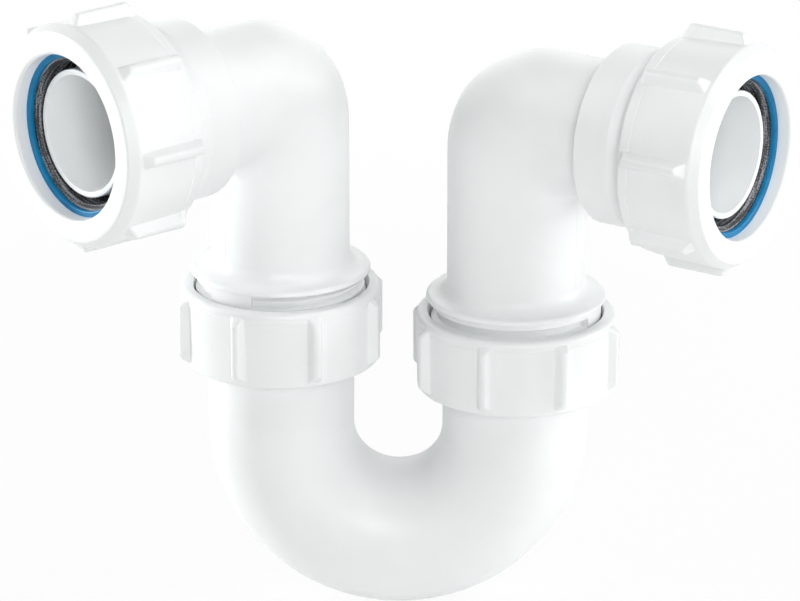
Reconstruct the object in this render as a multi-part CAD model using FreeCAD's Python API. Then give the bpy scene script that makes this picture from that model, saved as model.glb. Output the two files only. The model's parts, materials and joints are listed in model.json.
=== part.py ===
import FreeCAD, Part
import math
import os

# Running P trap for a 32 mm (1 1/4 inch) waste, in millimetres, +Z up.
# The origin is the centre of the inlet nut's mouth, where its straight wall meets the rounded
# rim. The inlet and outlet arms are level, and the U-bend hangs below them with its two legs
# upright, one beside the other along X.

# Pipe and U-bend
pipe_diameter = 36.0
pipe_wall = 2.0
bend_wall = 2.0
leg_gap = 21.9
outlet_leg_height = 33.25
leg_step = 6.8
leg_rim_round = 0.6
slip = 0.3

# Elbow tube, a little slimmer than the pipe, and how each arm is turned about its leg
elbow_step = 1.0
elbow_wall = 2.0
heel_radius = 7.8
crotch_radius = 3.0
bend_sections = 13
leg_tube_length = 27.45
arm_tube_length = 8.1
inlet_turn = 41.2
outlet_turn = 30.4

# Threaded socket at the elbow's foot, which takes a leg of the U-bend
foot_wall = 2.65
socket_depth = 16.55
socket_gap = 0.3
collar_step = 1.15
collar_slope = 0.1
collar_flare = 3.6
collar_edge = 1.25
collar_rim = 1.0
collar_foot_round = 0.2
throat_length = 5.0
thread_end_round = 0.6

# Union nut
union_nut_rim = 2.8
union_nut_height = 19.4
union_nut_draft = 0.25
union_lip = 2.3
union_lead_step = 0.5
union_lead_in = 1.5
union_nut_round = 1.2
union_mouth_round = 0.3
union_foot_round = 0.85

# Rubber ring under the union nut
union_ring_thickness = 3.75
union_ring_bevel = 1.4

# Threaded socket at the arm's end, which takes a waste pipe over an inner spigot
arm_ring_step = 1.0
arm_ring_length = 8.9
arm_ring_bevel = 2.2
arm_ring_round = 0.4
arm_root_round = 1.0
arm_neck_wall = 2.65
arm_neck_length = 1.8
arm_seat_wall = 2.5
arm_thread_length = 16.0
spigot_play = 0.5
spigot_wall = 1.4
spigot_setback = 0.3
spigot_round = 0.4
pipe_play = 0.25
pocket_web = 2.9

# Tapered rubber seal with inner lips
seal_head = 2.7
seal_body = 7.0
seal_head_step = 1.0
seal_wall = 3.1
seal_taper = 1.0
seal_play = 0.3
seal_lips = 3
seal_lip_height = 1.0
seal_lip_front = 1.1
seal_lip_land = 0.5
seal_lip_back = 0.3
seal_seat_gap = 0.1

# Slip ring between the seal and the nut
slip_ring_thickness = 1.2
slip_ring_play = 0.5
slip_ring_step = 0.3
slip_ring_round = 0.4

# Compression nut
mouth_play = 1.9
mouth_wall = 3.6
mouth_round = 0.9
nut_wall = 2.3
nut_draft = 0.6
nut_face_step = 1.8
nut_length = 21.9
nut_bevel = 2.6
nut_land = 3.1
nut_land_step = 0.25
nut_bevel_round = 0.5
nut_rear_round = 0.6

# Grip ribs on both kinds of nut
rib_count = 8
rib_base = 4.0
rib_top = 1.7
rib_end = 1.7
union_rib_height = 2.1
nut_rib_height = 2.6
rib_root = 0.6
union_rib_top_gap = 1.2
union_rib_foot_gap = 0.8
nut_rib_front_gap = 2.4
nut_rib_rear_gap = 0.6
inlet_union_phase = 22.6
outlet_union_phase = 27.6
inlet_nut_phase = 1.0
outlet_nut_phase = 37.0

# How closely two lengths must agree to count as the same edge
match = 0.001

# Radii that follow from the pipe outwards
pipe_radius = pipe_diameter / 2
bend_bore_radius = pipe_radius - bend_wall
bend_radius = pipe_radius + leg_gap / 2
elbow_radius = pipe_radius - elbow_step
elbow_bore_radius = elbow_radius - elbow_wall
socket_radius = pipe_radius + slip
foot_thread_radius = socket_radius + foot_wall
collar_radius = foot_thread_radius + collar_step
union_thread_radius = foot_thread_radius + slip
union_mouth_radius = union_thread_radius + union_lead_step
union_nut_radius = union_mouth_radius + union_nut_rim
spigot_radius = pipe_radius - pipe_wall - spigot_play
pocket_radius = pipe_radius + pipe_play
arm_neck_radius = pocket_radius + arm_neck_wall
arm_ring_radius = arm_neck_radius + arm_ring_step
seal_bore_radius = pipe_radius + seal_play
seal_seat_radius = seal_bore_radius + seal_wall
seal_head_radius = seal_seat_radius + seal_head_step
arm_thread_radius = seal_seat_radius + arm_seat_wall
slip_ring_bore_radius = pipe_radius + slip_ring_play
slip_ring_radius = seal_head_radius + slip_ring_step
nut_thread_radius = arm_thread_radius + slip
nut_rear_radius = nut_thread_radius + nut_wall
nut_front_radius = nut_rear_radius + nut_draft
nut_face_radius = nut_front_radius - nut_face_step
mouth_radius = pipe_radius + mouth_play

# Heights and lengths from the point where an elbow's two axes cross
crotch_centre = elbow_radius + crotch_radius
arm_rise = crotch_centre + leg_tube_length
shoulder_drop = arm_rise - socket_gap
foot_drop = arm_rise + socket_depth
union_nut_drop = foot_drop + union_ring_thickness + union_lip
arm_ring_start = crotch_centre + arm_tube_length
pocket_floor = arm_ring_start + pocket_web
arm_thread_start = arm_ring_start + arm_ring_length + arm_ring_bevel + arm_neck_length
arm_socket_end = arm_thread_start + arm_thread_length
seal_front = arm_socket_end + seal_head
slip_ring_front = seal_front + slip_ring_thickness
nut_face = slip_ring_front + mouth_wall
nut_rear = nut_face - nut_length
spigot_end = seal_front - spigot_setback

UP = FreeCAD.Vector(0, 0, 1)
CENTRE = FreeCAD.Vector(0, 0, 0)


def heading(side):
    """Level direction of an arm, pointing out of its mouth."""
    turn = math.radians(inlet_turn if side == "inlet" else outlet_turn)
    outward = -1 if side == "inlet" else 1
    return FreeCAD.Vector(outward * math.cos(turn), -math.sin(turn), 0)


inlet_leg = heading("inlet") * (mouth_round - nut_face)
outlet_leg = inlet_leg + FreeCAD.Vector(2 * bend_radius, 0, -leg_step)


def turned(corners):
    """Solid turned about Z from the (radius, height) corners of its section."""
    points = [FreeCAD.Vector(radius, 0, height) for radius, height in corners]
    outline = Part.makePolygon(points + points[:1])
    return Part.Face(outline).revolve(CENTRE, UP, 360)


def rounded(solid, radius, height, size):
    """The solid with its circular edge of that radius and height rounded off."""
    edges = []
    for edge in solid.Edges:
        circle = edge.Curve
        if circle.TypeId != "Part::GeomCircle":
            continue
        if abs(circle.Radius - radius) < match and abs(circle.Center.z - height) < match:
            edges.append(edge)
    return solid.makeFillet(size, edges)


def on_arm(shape, side):
    """Move a shape built along Z from the leg's axis out along the arm of that side."""
    placed = shape.copy()
    direction = heading(side)
    placed.rotate(CENTRE, FreeCAD.Vector(0, 1, 0), 90)
    placed.rotate(CENTRE, UP, math.degrees(math.atan2(direction.y, direction.x)))
    placed.translate(inlet_leg if side == "inlet" else outlet_leg)
    return placed


def on_leg(shape, side):
    """Move a shape built along Z from the arm's axis onto the leg of that side."""
    placed = shape.copy()
    placed.translate(inlet_leg if side == "inlet" else outlet_leg)
    return placed


def rib(radius_at, foot, top, height):
    """One tapered grip rib lying along Z, with sloping flanks and ends."""
    slope = (rib_base - rib_top) / 2
    below = rib_root / height
    wires = []
    for lift, half, inset in (
        (-rib_root, rib_base / 2 + slope * below, -rib_end * below),
        (height, rib_top / 2, rib_end),
    ):
        low = foot + inset
        high = top - inset
        corners = [
            FreeCAD.Vector(radius_at(low) + lift, -half, low),
            FreeCAD.Vector(radius_at(low) + lift, half, low),
            FreeCAD.Vector(radius_at(high) + lift, half, high),
            FreeCAD.Vector(radius_at(high) + lift, -half, high),
        ]
        wires.append(Part.makePolygon(corners + corners[:1]))
    return Part.makeLoft(wires, True, True)


def with_ribs(body, one_rib, phase):
    """The body of a nut with its ribs evenly spaced, the first turned by the phase."""
    ribs = []
    for index in range(rib_count):
        copy = one_rib.copy()
        copy.rotate(CENTRE, UP, phase + index * 360 / rib_count)
        ribs.append(copy)
    return body.fuse(ribs).removeSplitter()


def heel_reach(turn, radius):
    """Distance from the crotch's centre to the outside of the bend, at that turn from the leg."""
    nearer = min(turn, math.pi / 2 - turn)
    straight = (crotch_centre + radius) / math.cos(nearer)
    offset = crotch_centre - heel_radius
    if straight * math.sin(nearer) <= offset:
        return straight
    along = offset * (math.cos(turn) + math.sin(turn))
    return along + math.sqrt(along ** 2 - 2 * offset ** 2 + (heel_radius + radius) ** 2)


def bend(radius):
    """Tight bend between leg and arm, lofted through ellipses that fan about the crotch's centre."""
    centre = FreeCAD.Vector(crotch_centre, 0, -crotch_centre)
    inner = crotch_centre - radius
    wires = []
    for index in range(bend_sections):
        turn = math.pi / 2 * index / (bend_sections - 1)
        outward = FreeCAD.Vector(-math.cos(turn), 0, math.sin(turn))
        reach = heel_reach(turn, radius)
        half_width = max((reach - inner) / 2, radius)
        section = Part.Wire(Part.Ellipse(CENTRE, half_width, radius).toShape())
        section.rotate(CENTRE, FreeCAD.Vector(0, 1, 0), 180 + math.degrees(turn))
        section.translate(centre + outward * (inner + half_width))
        wires.append(section)
    return Part.makeLoft(wires, True)


def laid_along_x(shape):
    """A shape built along Z, turned to run along X."""
    placed = shape.copy()
    placed.rotate(CENTRE, FreeCAD.Vector(0, 1, 0), 90)
    return placed


def elbow_leg():
    """Outside of the elbow's leg: tube, flared collar and threaded foot."""
    edge_top = -shoulder_drop + collar_edge
    leg = turned([
        (0, -crotch_centre),
        (elbow_radius, -crotch_centre),
        (elbow_radius, edge_top + collar_slope),
        (collar_radius, edge_top),
        (collar_radius, -shoulder_drop),
        (foot_thread_radius, -shoulder_drop),
        (foot_thread_radius, -foot_drop),
        (0, -foot_drop),
    ])
    leg = rounded(leg, collar_radius, edge_top, collar_rim)
    leg = rounded(leg, collar_radius, -shoulder_drop, collar_foot_round)
    leg = rounded(leg, elbow_radius, edge_top + collar_slope, collar_flare)
    return rounded(leg, foot_thread_radius, -foot_drop, thread_end_round)


def leg_bore():
    """Waterway of the leg: bore, throat and the socket for the U-bend's end."""
    throat_top = -shoulder_drop + throat_length
    return turned([
        (0, -crotch_centre),
        (elbow_bore_radius, -crotch_centre),
        (elbow_bore_radius, throat_top),
        (socket_radius, -shoulder_drop),
        (socket_radius, -foot_drop),
        (0, -foot_drop),
    ])


def elbow_arm():
    """Outside of the elbow's arm: tube, ring, neck and threaded mouth."""
    ring_front = arm_ring_start + arm_ring_length
    arm = turned([
        (0, crotch_centre),
        (elbow_radius, crotch_centre),
        (elbow_radius, arm_ring_start),
        (arm_ring_radius, arm_ring_start),
        (arm_ring_radius, ring_front),
        (arm_neck_radius, ring_front + arm_ring_bevel),
        (arm_neck_radius, arm_thread_start),
        (arm_thread_radius, arm_thread_start),
        (arm_thread_radius, arm_socket_end),
        (0, arm_socket_end),
    ])
    arm = rounded(arm, elbow_radius, arm_ring_start, arm_root_round)
    arm = rounded(arm, arm_ring_radius, arm_ring_start, arm_ring_round)
    return rounded(arm, arm_thread_radius, arm_socket_end, thread_end_round)


def arm_hollows():
    """Waterway of the arm, the pocket for the pipe and the tapered seat for its seal."""
    bore = turned([
        (0, crotch_centre),
        (elbow_bore_radius, crotch_centre),
        (elbow_bore_radius, arm_ring_start),
        (spigot_radius - spigot_wall, pocket_floor),
        (spigot_radius - spigot_wall, spigot_end),
        (0, spigot_end),
    ])
    seat_radius = seal_seat_radius + seal_seat_gap
    seat_floor = arm_socket_end - seal_body
    pocket = turned([
        (spigot_radius, pocket_floor),
        (pocket_radius, pocket_floor),
        (pocket_radius, seat_floor),
        (seat_radius - seal_taper, seat_floor),
        (seat_radius, arm_socket_end),
        (spigot_radius, arm_socket_end),
    ])
    return bore, pocket


def spigot_tip():
    """End of the inner spigot, which stands out ahead of the threaded mouth."""
    tip = turned([
        (0, arm_socket_end),
        (spigot_radius, arm_socket_end),
        (spigot_radius, spigot_end),
        (0, spigot_end),
    ])
    return rounded(tip, spigot_radius, spigot_end, spigot_round)


def elbow():
    """One moulded elbow, leg down and arm along X, with its origin where the axes cross."""
    outside = elbow_leg().fuse([laid_along_x(elbow_arm()), bend(elbow_radius)]).removeSplitter()
    bore, pocket = arm_hollows()
    outside = outside.fuse(laid_along_x(spigot_tip()))
    hollows = [leg_bore(), laid_along_x(bore), bend(elbow_bore_radius), laid_along_x(pocket)]
    return outside.cut(hollows).removeSplitter()


def placed_elbow(side):
    """The elbow turned to its arm's heading and stood on its leg."""
    placed = elbow()
    direction = heading(side)
    placed.rotate(CENTRE, UP, math.degrees(math.atan2(direction.y, direction.x)))
    placed.translate(inlet_leg if side == "inlet" else outlet_leg)
    return placed


def u_bend_body(radius):
    """Half ring with its two upright legs, solid right through, at the given tube radius."""
    tops = {"inlet": outlet_leg_height + leg_step, "outlet": outlet_leg_height}
    section = Part.Face(Part.Wire(Part.makeCircle(radius, FreeCAD.Vector(-bend_radius, 0, 0), UP)))
    half_ring = section.revolve(CENTRE, FreeCAD.Vector(0, -1, 0), 180)
    inlet = Part.makeCylinder(radius, tops["inlet"], FreeCAD.Vector(-bend_radius, 0, 0), UP)
    outlet = Part.makeCylinder(radius, tops["outlet"], FreeCAD.Vector(bend_radius, 0, 0), UP)
    return half_ring.fuse([inlet, outlet]).removeSplitter()


def u_bend():
    """The moulded U-bend, whose plain legs stand inside the feet of the two elbows."""
    tube = u_bend_body(pipe_radius).cut(u_bend_body(bend_bore_radius))
    inlet_top = outlet_leg_height + leg_step
    rims = []
    for edge in tube.Edges:
        circle = edge.Curve
        if circle.TypeId != "Part::GeomCircle" or abs(circle.Radius - pipe_radius) > match:
            continue
        if min(abs(circle.Center.z - inlet_top), abs(circle.Center.z - outlet_leg_height)) < match:
            rims.append(edge)
    tube = tube.makeFillet(leg_rim_round, rims)
    tube.translate(inlet_leg + FreeCAD.Vector(bend_radius, 0, -arm_rise - inlet_top))
    return tube


def union_nut(phase):
    """Union nut with its mouth up, its lip below and its height measured from the arm's axis."""
    foot = -union_nut_drop
    top = foot + union_nut_height
    foot_radius = union_nut_radius - union_nut_draft
    body = turned([
        (socket_radius, foot),
        (foot_radius, foot),
        (union_nut_radius, top),
        (union_mouth_radius, top),
        (union_thread_radius, top - union_lead_in),
        (union_thread_radius, foot + union_lip),
        (socket_radius, foot + union_lip),
    ])
    body = rounded(body, union_nut_radius, top, union_nut_round)
    body = rounded(body, union_mouth_radius, top, union_mouth_round)
    body = rounded(body, foot_radius, foot, union_foot_round)

    def radius_at(height):
        return union_nut_radius - union_nut_draft * (top - height) / union_nut_height

    one_rib = rib(radius_at, foot + union_rib_foot_gap, top - union_rib_top_gap, union_rib_height)
    return with_ribs(body, one_rib, phase)


def union_ring():
    """Rubber ring squeezed between the union nut's lip and the foot of the elbow."""
    floor = -union_nut_drop + union_lip
    outer = union_thread_radius - slip
    return turned([
        (socket_radius, floor),
        (outer, floor),
        (outer, -foot_drop - union_ring_bevel),
        (outer - union_ring_bevel, -foot_drop),
        (socket_radius, -foot_drop),
    ])


def seal():
    """Tapered rubber seal: a head outside the arm's mouth, a body in its seat, lips within."""
    floor = arm_socket_end - seal_body
    valley = seal_bore_radius
    crest = valley - seal_lip_height
    pitch = (seal_front - floor) / seal_lips
    corners = [
        (valley, floor),
        (seal_seat_radius - seal_taper, floor),
        (seal_seat_radius, arm_socket_end),
        (seal_head_radius, arm_socket_end),
        (seal_head_radius, seal_front),
        (valley, seal_front),
    ]
    for index in range(seal_lips):
        front = seal_front - index * pitch
        crest_front = front - seal_lip_front
        crest_rear = crest_front - seal_lip_land
        corners.append((crest, crest_front))
        corners.append((crest, crest_rear))
        corners.append((valley, crest_rear - seal_lip_back))
        if index < seal_lips - 1:
            corners.append((valley, front - pitch))
    return turned(corners)


def slip_ring():
    """Plain ring on which the compression nut turns without twisting the seal."""
    ring = turned([
        (slip_ring_bore_radius, seal_front),
        (slip_ring_radius, seal_front),
        (slip_ring_radius, slip_ring_front),
        (slip_ring_bore_radius, slip_ring_front),
    ])
    return rounded(ring, slip_ring_bore_radius, slip_ring_front, slip_ring_round)


def compression_nut(phase):
    """Compression nut along Z from the leg's axis, with its mouth at the far end."""
    barrel_front = nut_face - nut_bevel
    land_front = nut_rear + nut_land
    taper = nut_draft / (barrel_front - nut_rear)

    def radius_at(height):
        return nut_rear_radius + taper * (height - nut_rear)

    body = turned([
        (nut_thread_radius, nut_rear),
        (nut_rear_radius - nut_land_step, nut_rear),
        (radius_at(land_front) - nut_land_step, land_front),
        (radius_at(land_front), land_front),
        (nut_front_radius, barrel_front),
        (nut_face_radius, nut_face),
        (mouth_radius, nut_face),
        (mouth_radius, slip_ring_front),
        (nut_thread_radius, slip_ring_front),
    ])
    body = rounded(body, mouth_radius, nut_face, mouth_round)
    body = rounded(body, nut_front_radius, barrel_front, nut_bevel_round)
    body = rounded(body, nut_rear_radius - nut_land_step, nut_rear, nut_rear_round)
    one_rib = rib(radius_at, nut_rear + nut_rib_rear_gap, nut_face - nut_rib_front_gap, nut_rib_height)
    return with_ribs(body, one_rib, phase)


os.makedirs("parts", exist_ok=True)

phases = {
    "inlet": (inlet_union_phase, inlet_nut_phase),
    "outlet": (outlet_union_phase, outlet_nut_phase),
}
parts = {"u_bend": u_bend()}
for side, (union_phase, nut_phase) in phases.items():
    parts[side + "_elbow"] = placed_elbow(side)
    parts[side + "_union_nut"] = on_leg(union_nut(union_phase), side)
    parts[side + "_union_ring"] = on_leg(union_ring(), side)
    parts[side + "_seal"] = on_arm(seal(), side)
    parts[side + "_slip_ring"] = on_arm(slip_ring(), side)
    parts[side + "_compression_nut"] = on_arm(compression_nut(nut_phase), side)

for name, shape in parts.items():
    shape.exportStep("parts/" + name + ".step")
    print(name, shape.isValid(), len(shape.Solids), round(shape.Volume, 1), len(shape.Faces))
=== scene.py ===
import json
import math

import bmesh
import bpy
from mathutils import Matrix, Vector


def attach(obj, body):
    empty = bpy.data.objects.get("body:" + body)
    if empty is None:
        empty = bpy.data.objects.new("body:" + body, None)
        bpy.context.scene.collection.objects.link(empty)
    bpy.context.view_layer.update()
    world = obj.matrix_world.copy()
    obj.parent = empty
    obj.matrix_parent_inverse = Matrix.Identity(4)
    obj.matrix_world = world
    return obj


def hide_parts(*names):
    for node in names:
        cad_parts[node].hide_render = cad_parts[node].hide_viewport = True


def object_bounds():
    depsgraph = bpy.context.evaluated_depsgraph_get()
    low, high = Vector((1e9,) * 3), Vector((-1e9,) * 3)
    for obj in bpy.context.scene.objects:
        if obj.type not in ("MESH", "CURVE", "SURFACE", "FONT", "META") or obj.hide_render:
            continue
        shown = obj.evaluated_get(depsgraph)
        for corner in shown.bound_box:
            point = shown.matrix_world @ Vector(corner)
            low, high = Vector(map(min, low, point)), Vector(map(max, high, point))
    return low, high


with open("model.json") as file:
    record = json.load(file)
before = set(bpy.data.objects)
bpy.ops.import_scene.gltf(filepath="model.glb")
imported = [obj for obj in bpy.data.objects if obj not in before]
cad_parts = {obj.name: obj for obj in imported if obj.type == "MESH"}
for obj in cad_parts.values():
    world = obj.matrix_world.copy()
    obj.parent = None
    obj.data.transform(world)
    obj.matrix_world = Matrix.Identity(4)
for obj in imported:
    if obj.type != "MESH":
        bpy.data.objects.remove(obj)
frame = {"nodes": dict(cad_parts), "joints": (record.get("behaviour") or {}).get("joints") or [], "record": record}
cad_low, cad_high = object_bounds()
nodes = frame["nodes"]
mounts = {mount["name"]: mount for mount in frame["record"]["mounts"]}
joints = {joint["name"]: joint for joint in frame["joints"]}
bpy.ops.object.select_all(action="DESELECT")

# Each shape is drawn once, in millimetres about its own axis, then copied to each side in metres.
MM = 0.001
SIDES = ("inlet", "outlet")

# How finely round things are divided, and the angle past which an edge stays sharp, in degrees
nut_columns = 128
tube_columns = 96
bend_sections = 33
round_steps = 4
sharp_angle = 32

# Elbow: tube and tight bend
elbow_radius = 17.0
elbow_bore = 15.0
heel_radius = 7.8
crotch_radius = 3.0
crotch_centre = elbow_radius + crotch_radius

# Elbow: foot, measured down from the arm's axis
shoulder = 47.15
foot_end = 64.0
foot_thread = 20.95
socket = 18.3
collar = 22.1
collar_edge = 1.25
collar_slope = 0.1
collar_flare = 3.6
throat = 5.0

# Elbow: plain band and pad at the top of the foot, and where the mould's parts meet there,
# in degrees from the arm
band_end = 48.85
pad_end = 52.0
pad_from = -2.0
pad_to = 31.8
band_to = 150.0

# Elbow: seams down the leg
seam_radius = 0.16
seam_sunk = 0.08

# Elbow: arm, measured out from the leg's axis
arm_ring = 21.9
arm_ring_start = 28.1
arm_ring_end = 37.0
arm_neck = 20.9
arm_neck_start = 39.2
arm_thread = 23.9
arm_thread_start = 41.0
arm_end = 57.0
seat_mouth = 21.5
seat_floor = 50.0
seat_taper = 1.0
pipe_pocket = 18.25
pocket_floor = 31.0
spigot = 15.5
spigot_bore = 14.1
spigot_end = 59.4

# Threads: both are cut at the same pitch
thread_pitch = 2.309
thread_depth = 1.45
thread_crest = 0.5
thread_root = 1.7
fade_steps = 10
foot_ridge_play = 0.02
foot_ridge_end = 63.0
foot_ridge_turns = 5.45
top_run_drop = 48.995
top_run_from = 25
top_run_turns = 0.4
arm_ridge_lead = 1.4
arm_ridge_turns = 6

# Union nut, with its heights from the arm's axis
union_foot = -70.05
union_top = -50.65
union_radius = 24.55
union_draft = 0.25
union_bore = 21.25
union_mouth = 21.75
union_lip = 2.3
union_lead = 1.5
witness_drop = 2.5
witness_proud = 0.1
witness_half = 0.2

# Compression nut, measured out from the leg's axis
nut_rear = 42.6
nut_face = 64.5
nut_bore = 24.2
nut_shoulder = 60.9
nut_mouth = 19.9
nut_rear_radius = 26.5
nut_front_radius = 27.1
nut_face_radius = 25.3
nut_bevel = 2.6
nut_land = 3.1
land_depth = 0.25
groove_depth = 0.4

# Grip ribs
rib_columns = 3
rib_count = 8
rib_top_width = 1.8
rib_end = 1.7
rib_round = 0.65
rib_root = 0.2
rib_edge_angle = 18
union_rib_reach = 26.6
union_rib_below = 1.2
union_rib_above = 1.35
nut_rib_reach = 29.6
nut_rib_behind = 0.9
nut_rib_ahead = 0.6

# Seal and slip ring
seal_front = 59.7
seal_head = 22.4
seal_valley = 18.3
seal_crest = 17.3
seal_lips = 3
seal_play = 0.1
slip_inner = 18.5
slip_outer = 22.7

# How far each nut is turned about its own axis, in degrees
union_turn = {"inlet": 22.6, "outlet": 27.6}
nut_turn = {"inlet": 1.0, "outlet": 37.0}

# Camera: the photograph's viewing angle in degrees, its place from the centre of the U-bend's arc
# in millimetres, and its focal length in the photograph's pixels
photo_azimuth = 1.717
photo_elevation = 20.282
photo_place = Vector((35.7, -1177.2, 467.3))
photo_focal = 5098.0
photo_width = 800
sensor_width = 36.0
bend_radius = 28.95
bend_drop = 87.5

# How far the lamps stand from the trap, in metres
lamp_distance = 1.3


# Drawing

def choose(piece, kind, wanted):
    """In edit mode, select only the verts, edges or faces that pass the test."""
    modes = {"verts": "VERT", "edges": "EDGE", "faces": "FACE"}
    bpy.ops.mesh.select_mode(type=modes[kind])
    bpy.ops.mesh.select_all(action="DESELECT")
    shape = bmesh.from_edit_mesh(piece.data)
    for item in getattr(shape, kind):
        if wanted(item):
            item.select_set(True)
    bmesh.update_edit_mesh(piece.data)


def middle(item):
    """Middle of an edge or face."""
    return sum((vert.co for vert in item.verts), Vector()) / len(item.verts)


def outline(name, corners, lean=0.0, closed=True):
    """A section in the plane at that angle about Z, drawn as (radius, height, rounding) corners.

    It is left in edit mode.
    """
    across = Vector((math.cos(lean), math.sin(lean), 0))
    spots = [across * radius + Vector((0, 0, height)) for radius, height, _ in corners]
    bpy.ops.mesh.primitive_plane_add(size=1, enter_editmode=True)
    piece = bpy.context.object
    piece.name = name
    piece.data.name = name
    bpy.ops.mesh.select_mode(type="VERT")
    bpy.ops.mesh.select_all(action="SELECT")
    bpy.ops.mesh.merge(type="CENTER")
    bpy.ops.transform.translate(value=spots[0])
    stops = spots[1:] + spots[:1] if closed else spots[1:]
    at = spots[0]
    for spot in stops:
        bpy.ops.mesh.extrude_vertices_move(TRANSFORM_OT_translate={"value": spot - at})
        at = spot
    bpy.ops.mesh.select_all(action="SELECT")
    bpy.ops.mesh.remove_doubles(threshold=0.001)
    for spot, (_, _, rounding) in zip(spots, corners):
        if rounding:
            choose(piece, "verts", lambda vert: (vert.co - spot).length < 0.002)
            steps = round_steps + round(2 * rounding)
            bpy.ops.mesh.bevel(offset=rounding, segments=steps, affect="VERTICES")
    return piece


def spin(piece, steps, sweep):
    """Turn the section being edited round Z through that angle, and weld where it meets itself."""
    bpy.ops.mesh.select_all(action="SELECT")
    bpy.ops.mesh.spin(steps=steps, angle=sweep, center=(0, 0, 0), axis=(0, 0, 1))
    bpy.ops.mesh.select_all(action="SELECT")
    bpy.ops.mesh.remove_doubles(threshold=0.001)
    bpy.ops.mesh.normals_make_consistent(inside=False)
    bpy.ops.object.mode_set(mode="OBJECT")
    return piece


def spun(piece, columns):
    """Turn a section right round Z."""
    return spin(piece, columns, 2 * math.pi)


def part_ring(name, corners, first, last):
    """A section turned only part of the way round Z, between two angles, with both its ends closed."""
    piece = outline(name, corners, lean=math.radians(first))
    bpy.ops.mesh.select_all(action="SELECT")
    bpy.ops.mesh.edge_face_add()
    sweep = last - first
    return spin(piece, round(sweep / 360 * tube_columns), -math.radians(sweep))


def placed(piece, place):
    """Move a shape, and keep its new place in its mesh."""
    bpy.ops.object.select_all(action="DESELECT")
    piece.select_set(True)
    bpy.context.view_layer.objects.active = piece
    piece.matrix_world = place
    bpy.ops.object.transform_apply(location=True, rotation=True, scale=True)
    return piece


def gathered(name, pieces):
    """Make several shapes one object, without welding them."""
    bpy.ops.object.select_all(action="DESELECT")
    for piece in pieces:
        piece.select_set(True)
    bpy.context.view_layer.objects.active = pieces[0]
    bpy.ops.object.join()
    whole = bpy.context.object
    whole.name = name
    whole.data.name = name
    return whole


def copied(master, name, place):
    """Copy a shape with its own mesh, set it in its place, and shade it smooth but for its sharp edges."""
    bpy.ops.object.select_all(action="DESELECT")
    master.select_set(True)
    bpy.context.view_layer.objects.active = master
    bpy.ops.object.duplicate()
    piece = bpy.context.object
    piece.name = name
    piece.data.name = name
    placed(piece, place)
    bpy.ops.object.shade_smooth_by_angle(angle=math.radians(sharp_angle))
    even = piece.modifiers.new("even", "WEIGHTED_NORMAL")
    even.keep_sharp = True
    bpy.ops.object.modifier_apply(modifier=even.name)
    bpy.ops.object.select_all(action="DESELECT")
    return piece


# Nuts

def raise_ribs(piece, low, high, skin, reach):
    """Draw eight grip ribs out of a nut's side, between two heights, with soft edges."""
    half_angle = math.pi / nut_columns * rib_columns
    half_width = skin * math.sin(half_angle)
    length = high - low
    narrow = rib_top_width / 2 / half_width
    shorter = (length - 2 * rib_end) / length
    pitch = 2 * math.pi / rib_count

    def on_rib(face):
        at = middle(face)
        beside = abs(math.atan2(at.y, at.x)) < half_angle
        return beside and low < at.z < high and at.xy.length > skin - 1

    def soften(inner, outer, size):
        """Round the ribs' edges that lie between two radii."""
        def on_rib_edge(edge):
            if len(edge.link_faces) != 2:
                return False
            at = middle(edge)
            beside = abs((math.atan2(at.y, at.x) + pitch / 2) % pitch - pitch / 2)
            inside = beside < half_angle * 1.02 and low - 0.01 < at.z < high + 0.01
            sharp = edge.calc_face_angle(0) > math.radians(rib_edge_angle)
            return inside and inner < at.xy.length < outer and sharp
        choose(piece, "edges", on_rib_edge)
        bpy.ops.mesh.bevel(offset=size, segments=3, affect="EDGES", clamp_overlap=False)

    bpy.ops.object.mode_set(mode="EDIT")
    for _ in range(rib_count):
        choose(piece, "faces", on_rib)
        bpy.ops.mesh.extrude_region_move(TRANSFORM_OT_translate={"value": (reach - skin, 0, 0)})
        bpy.ops.transform.resize(value=(0, narrow, shorter), center_override=(reach, 0, (low + high) / 2))
        bpy.ops.mesh.select_all(action="SELECT")
        bpy.ops.transform.rotate(value=pitch, orient_axis="Z", center_override=(0, 0, 0))
    soften(skin + 0.5, reach + 1, rib_round)
    soften(skin - 1, skin + 0.3, rib_root)
    bpy.ops.object.mode_set(mode="OBJECT")


def union_nut():
    """Union nut: mouth up, lip below, a faint witness line under its rim, and eight ribs."""
    skin_foot = union_radius - union_draft
    rib_low = union_foot + union_rib_below
    rib_high = union_top - union_rib_above
    nut = outline("union_nut", [
        (socket, union_foot, 0.4),
        (skin_foot, union_foot, 0.85),
        (skin_foot, rib_low, 0),
        (union_radius, rib_high, 0),
        (union_radius, union_top, 1.25),
        (union_mouth, union_top, 0.3),
        (union_bore, union_top - union_lead, 0),
        (union_bore, union_foot + union_lip, 0),
        (socket, union_foot + union_lip, 0),
    ], lean=-math.pi / nut_columns * rib_columns)
    spun(nut, nut_columns)
    raise_ribs(nut, rib_low, rib_high, union_radius, union_rib_reach)
    witness = union_top - witness_drop
    skin = union_radius - union_draft * (rib_high - witness) / (rib_high - rib_low)
    line = outline("witness", [
        (skin - 0.3, witness - witness_half, 0),
        (skin - 0.02, witness - witness_half, 0),
        (skin + witness_proud, witness, 0),
        (skin - 0.02, witness + witness_half, 0),
        (skin - 0.3, witness + witness_half, 0),
    ])
    spun(line, nut_columns)
    return gathered("union_nut", [nut, line])


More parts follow.
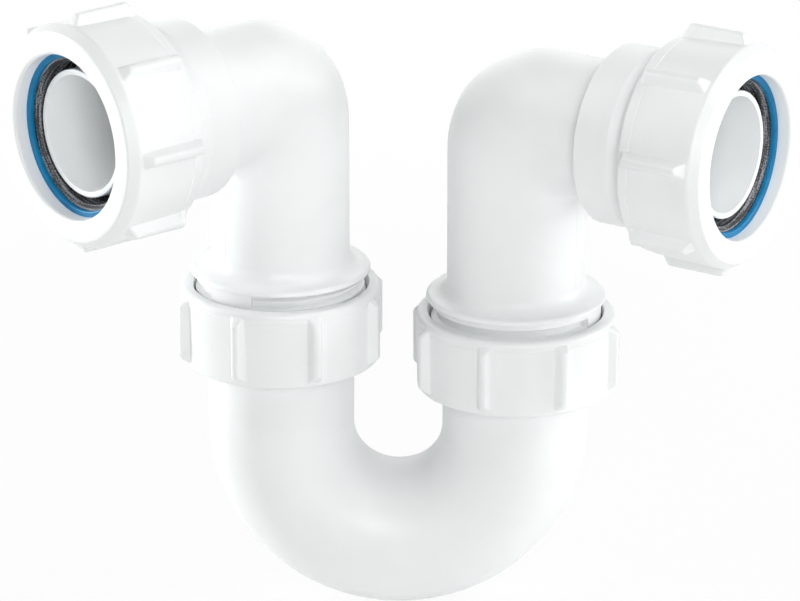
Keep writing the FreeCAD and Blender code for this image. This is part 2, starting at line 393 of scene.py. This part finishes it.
def compression_nut():
    """Compression nut: rounded mouth, bevelled face, eight ribs, and a groove and low land at its rear."""
    bevel_at = nut_face - nut_bevel
    land_at = nut_rear + nut_land
    slope = (nut_front_radius - nut_rear_radius) / (bevel_at - nut_rear)
    land_radius = nut_rear_radius + slope * nut_land
    rib_low = nut_rear + nut_rib_behind
    rib_high = bevel_at - nut_rib_ahead
    nut = outline("compression_nut", [
        (nut_bore, nut_rear, 0.3),
        (nut_rear_radius - land_depth, nut_rear, 0.6),
        (nut_rear_radius - land_depth, rib_low, 0),
        (land_radius - land_depth, land_at - 0.4, 0),
        (land_radius - groove_depth, land_at - 0.2, 0),
        (land_radius - groove_depth, land_at - 0.05, 0),
        (land_radius, land_at + 0.15, 0),
        (nut_front_radius - slope * nut_rib_ahead, rib_high, 0),
        (nut_front_radius, bevel_at, 0.5),
        (nut_face_radius, nut_face, 0.5),
        (nut_mouth, nut_face, 0.9),
        (nut_mouth, nut_shoulder, 0),
        (nut_bore, nut_shoulder, 0),
    ], lean=-math.pi / nut_columns * rib_columns)
    spun(nut, nut_columns)
    raise_ribs(nut, rib_low, rib_high, nut_front_radius, nut_rib_reach)
    return nut


# Elbow

def thread(name, crest, start, first, turns):
    """A thread's ridge, wound up round Z from that height and angle, fading at both ends."""
    root = crest - thread_depth
    opening = math.radians(first)
    piece = outline(name, [
        (root - 0.2, start - thread_root / 2, 0),
        (root, start - thread_root / 2, 0),
        (crest, start - thread_crest / 2, 0),
        (crest, start + thread_crest / 2, 0),
        (root, start + thread_root / 2, 0),
        (root - 0.2, start + thread_root / 2, 0),
    ], lean=opening)
    bpy.ops.object.mode_set(mode="OBJECT")
    steps = round(turns * tube_columns)
    step_turn = 2 * math.pi / tube_columns
    step_rise = thread_pitch / tube_columns
    winding = piece.modifiers.new("winding", "SCREW")
    winding.angle = step_turn * steps
    winding.screw_offset = step_rise * steps
    winding.steps = steps
    winding.render_steps = steps
    bpy.ops.object.modifier_apply(modifier=winding.name)
    bpy.ops.object.mode_set(mode="EDIT")
    for near_start in (True, False):
        for step in range(fade_steps):
            along = step if near_start else steps - step
            level = start + step_rise * along
            angle = opening + step_turn * along

            def on_section(vert):
                turned = math.atan2(vert.co.y, vert.co.x) - angle
                beside = abs(math.remainder(turned, 2 * math.pi)) < 0.01
                return beside and abs(vert.co.z - level) < thread_root / 2 + 0.01
            choose(piece, "verts", on_section)
            amount = math.sin(math.pi / 2 * max(step, 0.1) / fade_steps)
            centre = (root * math.cos(angle), root * math.sin(angle), level)
            bpy.ops.transform.resize(value=(amount,) * 3, center_override=centre)
            if step == 0:
                bpy.ops.mesh.edge_face_add()
    bpy.ops.mesh.select_all(action="SELECT")
    bpy.ops.mesh.normals_make_consistent(inside=False)
    bpy.ops.object.mode_set(mode="OBJECT")
    return piece


def heel_reach(turn, radius):
    """How far the bend's outside lies from the crotch's centre, at that turn from the leg."""
    nearer = min(turn, math.pi / 2 - turn)
    straight = (crotch_centre + radius) / math.cos(nearer)
    offset = crotch_centre - heel_radius
    if straight * math.sin(nearer) <= offset:
        return straight
    along = offset * (math.cos(turn) + math.sin(turn))
    return along + math.sqrt(along ** 2 - 2 * offset ** 2 + (heel_radius + radius) ** 2)


def bend_skin(name, radius):
    """Skin of the elbow's tight bend: rings fanned about the crotch, bridged one to the next."""
    crotch = Vector((crotch_centre, 0, -crotch_centre))
    inner = crotch_centre - radius
    turns = [math.pi / 2 * index / (bend_sections - 1) for index in range(bend_sections)]
    rings = []
    for turn in turns:
        outward = Vector((-math.cos(turn), 0, math.sin(turn)))
        reach = heel_reach(turn, radius)
        bpy.ops.mesh.primitive_circle_add(
            vertices=tube_columns, radius=radius,
            location=crotch + outward * (reach + inner) / 2, rotation=(0, math.pi + turn, 0))
        ring = bpy.context.object
        ring.scale = ((reach - inner) / 2 / radius, 1, 1)
        bpy.ops.object.transform_apply(location=True, rotation=True, scale=True)
        rings.append(ring)
    skin = gathered(name, rings)
    bpy.ops.object.mode_set(mode="EDIT")
    for first, second in zip(turns, turns[1:]):
        def on_rings(edge):
            at = middle(edge) - crotch
            turn = math.atan2(at.z, -at.x)
            return min(abs(turn - first), abs(turn - second)) < 0.001
        choose(skin, "edges", on_rings)
        bpy.ops.mesh.bridge_edge_loops()
    bpy.ops.object.mode_set(mode="OBJECT")
    return skin


def leg_seams():
    """Fine seams down the leg, under the arm and opposite it, where the mould's halves met."""
    top = -crotch_centre - 1
    foot = -shoulder + collar_edge + collar_flare
    seams = []
    for lean in (0, math.pi):
        bpy.ops.mesh.primitive_cylinder_add(
            vertices=8, radius=seam_radius, depth=top - foot, rotation=(0, 0, lean),
            location=(math.cos(lean) * (elbow_radius - seam_sunk), 0, (top + foot) / 2))
        bpy.ops.object.transform_apply(location=True, rotation=True, scale=True)
        seams.append(bpy.context.object)
    return seams


def elbow():
    """One moulded elbow: flared collar and foot below, ring, neck, mouth and inner spigot on its arm."""
    edge_top = -shoulder + collar_edge
    foot_root = foot_thread - thread_depth
    arm_root = arm_thread - thread_depth
    leg = outline("leg", [
        (elbow_radius, -crotch_centre, 0),
        (elbow_radius, edge_top + collar_slope, collar_flare),
        (collar, edge_top, 1.0),
        (collar, -shoulder, 0.2),
        (foot_root, -shoulder, 0.3),
        (foot_root, -foot_end, 0.5),
        (socket, -foot_end, 0.4),
        (socket, -shoulder, 0),
        (elbow_bore, -shoulder + throat, 1.0),
        (elbow_bore, -crotch_centre, 0),
    ], closed=False)
    spun(leg, tube_columns)
    arm = outline("arm", [
        (elbow_radius, crotch_centre, 0),
        (elbow_radius, arm_ring_start, 1.0),
        (arm_ring, arm_ring_start, 0.5),
        (arm_ring, arm_ring_end, 0.25),
        (arm_neck, arm_neck_start, 0.25),
        (arm_neck, arm_thread_start, 0),
        (arm_root, arm_thread_start, 0),
        (arm_root, arm_end, 0.3),
        (seat_mouth, arm_end, 0),
        (seat_mouth - seat_taper, seat_floor, 0),
        (pipe_pocket, seat_floor, 0),
        (pipe_pocket, pocket_floor, 0),
        (spigot, pocket_floor, 0),
        (spigot, spigot_end, 0.35),
        (spigot_bore, spigot_end, 0.3),
        (spigot_bore, pocket_floor, 0),
        (elbow_bore, arm_ring_start, 0),
        (elbow_bore, crotch_centre, 0),
    ], closed=False)
    spun(arm, tube_columns)
    placed(arm, Matrix.Rotation(math.radians(90), 4, "Y"))
    skins = [bend_skin("outside", elbow_radius), bend_skin("inside", elbow_bore)]
    whole = gathered("elbow", [leg, arm] + skins + leg_seams())
    bpy.ops.object.mode_set(mode="EDIT")
    bpy.ops.mesh.select_all(action="SELECT")
    bpy.ops.mesh.remove_doubles(threshold=0.01)
    bpy.ops.mesh.normals_make_consistent(inside=False)
    bpy.ops.object.mode_set(mode="OBJECT")
    return whole


def foot_threads():
    """The foot's plain band, the pad where the mould parts, the thread, and its short top run."""
    root = foot_thread - thread_depth
    parts = []
    rows = [("band", band_end, band_to, 360 + pad_from), ("pad", pad_end, pad_from, pad_to)]
    for name, end, first, last in rows:
        parts.append(part_ring(name, [
            (root - 0.3, -shoulder + 0.1, 0),
            (foot_thread, -shoulder + 0.1, 0),
            (foot_thread, -end, 0.3),
            (root - 0.3, -end, 0),
        ], first, last))
    crest = foot_thread - foot_ridge_play
    parts.append(thread("run", crest, -top_run_drop, top_run_from, top_run_turns))
    parts.append(thread("ridge", crest, -foot_ridge_end, 0, foot_ridge_turns))
    return gathered("foot_thread", parts)


def arm_thread_ridge():
    """The thread on the arm, under the compression nut."""
    return thread("arm_thread", arm_thread, arm_thread_start + arm_ridge_lead, 0, arm_ridge_turns)


# Seal and slip ring

def seal():
    """Tapered rubber seal, with three lips in its bore."""
    pitch = (seal_front - seat_floor) / seal_lips
    corners = [
        (seal_valley, seat_floor, 0),
        (seat_mouth - seal_play - seat_taper, seat_floor, 0),
        (seat_mouth - seal_play, arm_end, 0),
        (seal_head, arm_end, 0.3),
        (seal_head, seal_front, 0.5),
        (seal_valley, seal_front, 0.6),
    ]
    for index in range(seal_lips):
        front = seal_front - index * pitch
        corners.append((seal_crest, front - 1.2, 0.25))
        corners.append((seal_crest, front - 1.6, 0.2))
        corners.append((seal_valley, front - 1.9, 0))
        if index < seal_lips - 1:
            corners.append((seal_valley, front - pitch, 0))
    return spun(outline("seal", corners), nut_columns)


def slip_ring():
    """Plain slip ring with a softened bore."""
    return spun(outline("slip_ring", [
        (slip_inner, seal_front, 0.2),
        (slip_outer, seal_front, 0.2),
        (slip_outer, nut_shoulder, 0.2),
        (slip_inner, nut_shoulder, 0.35),
    ]), nut_columns)


# Materials

def add_node(tree, kind, settings=None, links=None):
    """Add a shader node, set its sockets or properties by name, and link its inputs."""
    node = tree.nodes.new(kind)
    for name, value in (settings or {}).items():
        if isinstance(name, int) or name in node.inputs:
            node.inputs[name].default_value = value
        else:
            setattr(node, name, value)
    for name, source in (links or {}).items():
        tree.links.new(source, node.inputs[name])
    return node


def colour(hex_code):
    """An sRGB hex colour as linear values."""
    parts = [int(hex_code[i:i + 2], 16) / 255 for i in (1, 3, 5)]
    return [p / 12.92 if p <= 0.04045 else ((p + 0.055) / 1.055) ** 2.4 for p in parts] + [1.0]


def grain(size):
    """Noise scale of a pattern with grains of that many millimetres."""
    return 1 / (size * MM)


def material(name):
    """A new material with an empty node tree, and the piece's own coordinates to draw it by."""
    made = bpy.data.materials.new(name)
    made.use_nodes = True
    tree = made.node_tree
    tree.nodes.clear()
    coords = add_node(tree, "ShaderNodeTexCoord").outputs["Object"]
    return made, tree, coords


def tinted(tree, amount, dark, light, low, high):
    """A tint that goes from dark to light as the amount goes from low to high."""
    ramp = add_node(tree, "ShaderNodeValToRGB", {}, {"Fac": amount})
    ramp.color_ramp.elements[0].position = low
    ramp.color_ramp.elements[0].color = colour(dark)
    ramp.color_ramp.elements[1].position = high
    ramp.color_ramp.elements[1].color = colour(light)
    return ramp.outputs["Color"]


def mottled(tree, coords, size, light, dark):
    """Two close tints clouded into each other, with clouds of that many millimetres."""
    cloud = add_node(tree, "ShaderNodeTexNoise", {"Scale": grain(size), "Detail": 3.0}, {"Vector": coords})
    return tinted(tree, cloud.outputs["Fac"], dark, light, 0.35, 0.65)


def finish_material(tree, shader):
    """Send the shader to the material's surface."""
    out = tree.nodes.new("ShaderNodeOutputMaterial")
    tree.links.new(shader.outputs[0], out.inputs["Surface"])


def white_polypropylene():
    """Injection-moulded white polypropylene: a soft, slightly cloudy sheen, with the mould's grain.

    The real grain is finer than a pixel, so it is drawn 0.71 mm wide and very shallow.
    """
    made, tree, coords = material("white_polypropylene_moulded")
    tint = mottled(tree, coords, 11.11, "#F3F5F5", "#F1F3F3")
    skin = add_node(tree, "ShaderNodeTexNoise", {"Scale": grain(0.7143), "Detail": 2.0}, {"Vector": coords})
    wave = add_node(tree, "ShaderNodeTexNoise", {"Scale": grain(16.67), "Detail": 1.0}, {"Vector": coords})
    rough = add_node(tree, "ShaderNodeMapRange", {
        "To Min": 0.34,
        "To Max": 0.46,
    }, {"Value": wave.outputs["Fac"]})
    bump = add_node(tree, "ShaderNodeBump", {
        "Strength": 0.12,
        "Distance": 0.05 * MM,
    }, {"Height": skin.outputs["Fac"]})
    shader = add_node(tree, "ShaderNodeBsdfPrincipled", {
        "IOR": 1.49,
    }, {
        "Base Color": tint,
        "Roughness": rough.outputs["Result"],
        "Normal": bump.outputs["Normal"],
    })
    finish_material(tree, shader)
    return made


def blue_polythene():
    """Injection-moulded blue polythene: satin, with its colour clouded a little."""
    made, tree, coords = material("blue_polythene_moulded")
    tint = mottled(tree, coords, 3.333, "#007EB2", "#0074A6")
    shader = add_node(tree, "ShaderNodeBsdfPrincipled", {
        "Roughness": 0.45,
        "IOR": 1.51,
        "Specular IOR Level": 0.3,
    }, {"Base Color": tint})
    finish_material(tree, shader)
    return made


def talced_rubber(side, place):
    """Moulded black rubber: matt, with talc left in thin rings round the bore.

    The specks of talc are finer than a pixel, so they are drawn 0.31 mm wide.
    """
    made, tree, coords = material("black_rubber_talced_" + side)
    square_on = place.to_3x3().normalized().inverted().to_euler()
    shift = add_node(tree, "ShaderNodeVectorMath", {
        "operation": "SUBTRACT",
        1: place.translation,
    }, {0: coords})
    local = add_node(tree, "ShaderNodeMapping", {"Rotation": square_on}, {"Vector": shift.outputs[0]})
    parts = add_node(tree, "ShaderNodeSeparateXYZ", {}, {"Vector": local.outputs["Vector"]})
    flat = add_node(tree, "ShaderNodeCombineXYZ", {}, {"X": parts.outputs["X"], "Y": parts.outputs["Y"]})
    radius = add_node(tree, "ShaderNodeVectorMath", {"operation": "LENGTH"}, {0: flat.outputs[0]})
    around = add_node(tree, "ShaderNodeMath", {"operation": "ARCTAN2"}, {
        0: parts.outputs["Y"],
        1: parts.outputs["X"],
    })
    drawn_out = add_node(tree, "ShaderNodeMath", {
        "operation": "MULTIPLY",
        1: 0.7 * MM,
    }, {0: around.outputs[0]})
    ringed = add_node(tree, "ShaderNodeCombineXYZ", {}, {
        "X": radius.outputs["Value"],
        "Y": drawn_out.outputs[0],
        "Z": parts.outputs["Z"],
    })
    rings = add_node(tree, "ShaderNodeTexNoise", {
        "Scale": grain(0.5),
        "Detail": 2.0,
    }, {"Vector": ringed.outputs[0]})
    specks = add_node(tree, "ShaderNodeTexNoise", {"Scale": grain(0.3125), "Detail": 0.0}, {"Vector": coords})
    faint = add_node(tree, "ShaderNodeMapRange", {
        "To Min": 0.28,
        "To Max": 0.72,
    }, {"Value": specks.outputs["Fac"]})
    talc = add_node(tree, "ShaderNodeMath", {"operation": "MULTIPLY"}, {
        0: rings.outputs["Fac"],
        1: faint.outputs["Result"],
    })
    tint = tinted(tree, talc.outputs[0], "#1B1C1E", "#94969A", 0.22, 0.33)
    shader = add_node(tree, "ShaderNodeBsdfPrincipled", {
        "Roughness": 0.62,
        "IOR": 1.52,
    }, {"Base Color": tint})
    finish_material(tree, shader)
    return made


def nitrile_rubber():
    """Moulded black nitrile rubber: matt, and almost even in colour."""
    made, tree, coords = material("black_nitrile_moulded")
    tint = mottled(tree, coords, 2.5, "#202124", "#131416")
    shader = add_node(tree, "ShaderNodeBsdfPrincipled", {"Roughness": 0.6, "IOR": 1.52}, {"Base Color": tint})
    finish_material(tree, shader)
    return made


def dress(piece, finish):
    """Give a piece its one material."""
    piece.data.materials.clear()
    piece.data.materials.append(finish)


# Assembly

def places(side):
    """Where one side's elbow, arm pieces and two nuts stand, in metres."""
    mouth = Vector(mounts[side]["pos_m"])
    out = Vector(mounts[side]["axis"])
    leg = Vector(joints[side + "_leg_swivel"]["pos_m"])
    corner = Matrix.Translation((leg.x, leg.y, mouth.z))
    facing = Matrix.Rotation(math.atan2(out.y, out.x), 4, "Z")
    lying = Matrix.Rotation(math.radians(90), 4, "Y")
    small = Matrix.Scale(MM, 4)
    arm = corner @ facing @ lying @ small
    return {
        "elbow": corner @ facing @ small,
        "arm": arm,
        "union": corner @ small @ Matrix.Rotation(math.radians(union_turn[side]), 4, "Z"),
        "nut": arm @ Matrix.Rotation(math.radians(nut_turn[side]), 4, "Z"),
    }


# Each side's pieces: where a piece stands, the body it rides on, the node it stands for, and its slot
PIECES = {
    "elbow_dressed": ("elbow", "elbow", "elbow", "white_plastic"),
    "foot_thread": ("elbow", "elbow", None, "white_plastic"),
    "arm_thread": ("arm", "elbow", None, "white_plastic"),
    "union_nut_dressed": ("union", "union_nut", "union_nut", "white_plastic"),
    "compression_nut_dressed": ("nut", "nut", "compression_nut", "white_plastic"),
    "seal_dressed": ("arm", "elbow", "seal", "rubber"),
    "slip_ring_dressed": ("arm", "slip_ring", "slip_ring", "blue_plastic"),
}

masters = {
    "elbow_dressed": elbow(),
    "foot_thread": foot_threads(),
    "arm_thread": arm_thread_ridge(),
    "union_nut_dressed": union_nut(),
    "compression_nut_dressed": compression_nut(),
    "seal_dressed": seal(),
    "slip_ring_dressed": slip_ring(),
}
white = white_polypropylene()
blue = blue_polythene()
nitrile = nitrile_rubber()

dress(nodes["u_bend"], white)
for side in SIDES:
    spot = places(side)
    finishes = {"white_plastic": white, "blue_plastic": blue, "rubber": talced_rubber(side, spot["arm"])}
    for kind, (stand, body, node, slot) in PIECES.items():
        piece = copied(masters[kind], side + "_" + kind, spot[stand])
        dress(piece, finishes[slot])
        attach(piece, side + "_" + body)
        if node:
            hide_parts(side + "_" + node)
    dress(nodes[side + "_union_ring"], nitrile)

bpy.ops.object.select_all(action="DESELECT")
for master in masters.values():
    master.select_set(True)
bpy.ops.object.delete()


# Floor, light and camera

def seen_rays(tree):
    """One for rays that the camera sees, straight or by a reflection or through something clear."""
    path = add_node(tree, "ShaderNodeLightPath")
    bounced = add_node(tree, "ShaderNodeMath", {"operation": "MAXIMUM"}, {
        0: path.outputs["Is Glossy Ray"],
        1: path.outputs["Is Transmission Ray"],
    })
    both = add_node(tree, "ShaderNodeMath", {"operation": "MAXIMUM"}, {
        0: path.outputs["Is Camera Ray"],
        1: bounced.outputs[0],
    })
    return both.outputs[0]


def stage():
    """A pale floor just under the bend, white to the eye but for the shadow near the trap."""
    bpy.ops.mesh.primitive_plane_add(size=30, location=(0, 0, cad_low.z - 0.5 * MM))
    floor = bpy.context.object
    floor.name = "floor"
    made, tree, coords = material("pale_floor")
    tint = mottled(tree, coords, 50, "#FAFAFA", "#F8F8F8")
    paint = add_node(tree, "ShaderNodeBsdfPrincipled", {"Roughness": 0.9}, {"Base Color": tint})
    glow = add_node(tree, "ShaderNodeEmission", {"Color": (1, 1, 1, 1), "Strength": 1.0})
    away = add_node(tree, "ShaderNodeVectorMath", {"operation": "LENGTH"}, {0: coords})
    white_far = add_node(tree, "ShaderNodeMapRange", {
        "From Min": 0.2,
        "From Max": 0.45,
        "To Min": 0.9,
        "To Max": 1.0,
    }, {"Value": away.outputs["Value"]})
    share = add_node(tree, "ShaderNodeMath", {"operation": "MULTIPLY"}, {
        0: seen_rays(tree),
        1: white_far.outputs["Result"],
    })
    mixed = add_node(tree, "ShaderNodeMixShader", {}, {
        0: share.outputs[0],
        1: paint.outputs[0],
        2: glow.outputs[0],
    })
    finish_material(tree, mixed)
    dress(floor, made)


def lamp(name, azimuth, elevation, size, power):
    """A soft square panel facing the trap. Azimuth 0 is the front and 90 the right."""
    centre = (cad_low + cad_high) / 2
    turn = math.radians(azimuth)
    rise = math.radians(elevation)
    toward = Vector((math.sin(turn) * math.cos(rise), -math.cos(turn) * math.cos(rise), math.sin(rise)))
    bpy.ops.object.light_add(type="AREA", location=centre + toward * lamp_distance)
    light = bpy.context.object
    light.name = name
    light.data.shape = "SQUARE"
    light.data.size = size
    light.data.energy = power
    light.rotation_euler = (-toward).to_track_quat("-Z", "Y").to_euler()


def room():
    """A dim room round the trap, which the camera sees as plain white."""
    world = bpy.data.worlds.new("soft_room")
    world.use_nodes = True
    bpy.context.scene.world = world
    tree = world.node_tree
    tree.nodes.clear()
    dim = add_node(tree, "ShaderNodeBackground", {"Color": (1, 1, 1, 1), "Strength": 0.035})
    sky = add_node(tree, "ShaderNodeBackground", {"Color": (1, 1, 1, 1), "Strength": 1.0})
    either = add_node(tree, "ShaderNodeMixShader", {}, {
        0: seen_rays(tree),
        1: dim.outputs[0],
        2: sky.outputs[0],
    })
    add_node(tree, "ShaderNodeOutputWorld", {}, {"Surface": either.outputs[0]})


def look_as_photographed():
    """The camera at the photograph's place and viewing angle."""
    eye = bpy.data.cameras.new("eye")
    camera = bpy.data.objects.new("eye", eye)
    bpy.context.scene.collection.objects.link(camera)
    leg = Vector(joints["inlet_leg_swivel"]["pos_m"])
    mouth = Vector(mounts["inlet"]["pos_m"])
    bend = Vector((leg.x + bend_radius * MM, leg.y, mouth.z - bend_drop * MM))
    camera.location = bend + photo_place * MM
    camera.rotation_euler = (math.radians(90 - photo_elevation), 0, math.radians(photo_azimuth))
    eye.sensor_fit = "HORIZONTAL"
    eye.sensor_width = sensor_width
    eye.lens = photo_focal / photo_width * sensor_width
    # The view is centred on row 300, half a pixel above the middle of the photograph's 601 rows.
    eye.shift_y = -0.5 / photo_width
    eye.clip_start = 0.05
    eye.clip_end = 100.0
    bpy.context.scene.camera = camera


stage()
lamp("left_panel", -110, 5, 0.4, 13.4)
lamp("right_panel", 95, 5, 0.4, 6.6)
lamp("back_panel", 180, 25, 1.0, 3.8)
lamp("top_left_panel", -70, 50, 1.0, 3.7)
lamp("top_right_panel", 70, 50, 1.0, 7.9)
lamp("front_panel", 8, 22, 0.4, 6.2)
room()
look_as_photographed()
bpy.context.scene.view_settings.view_transform = "Standard"
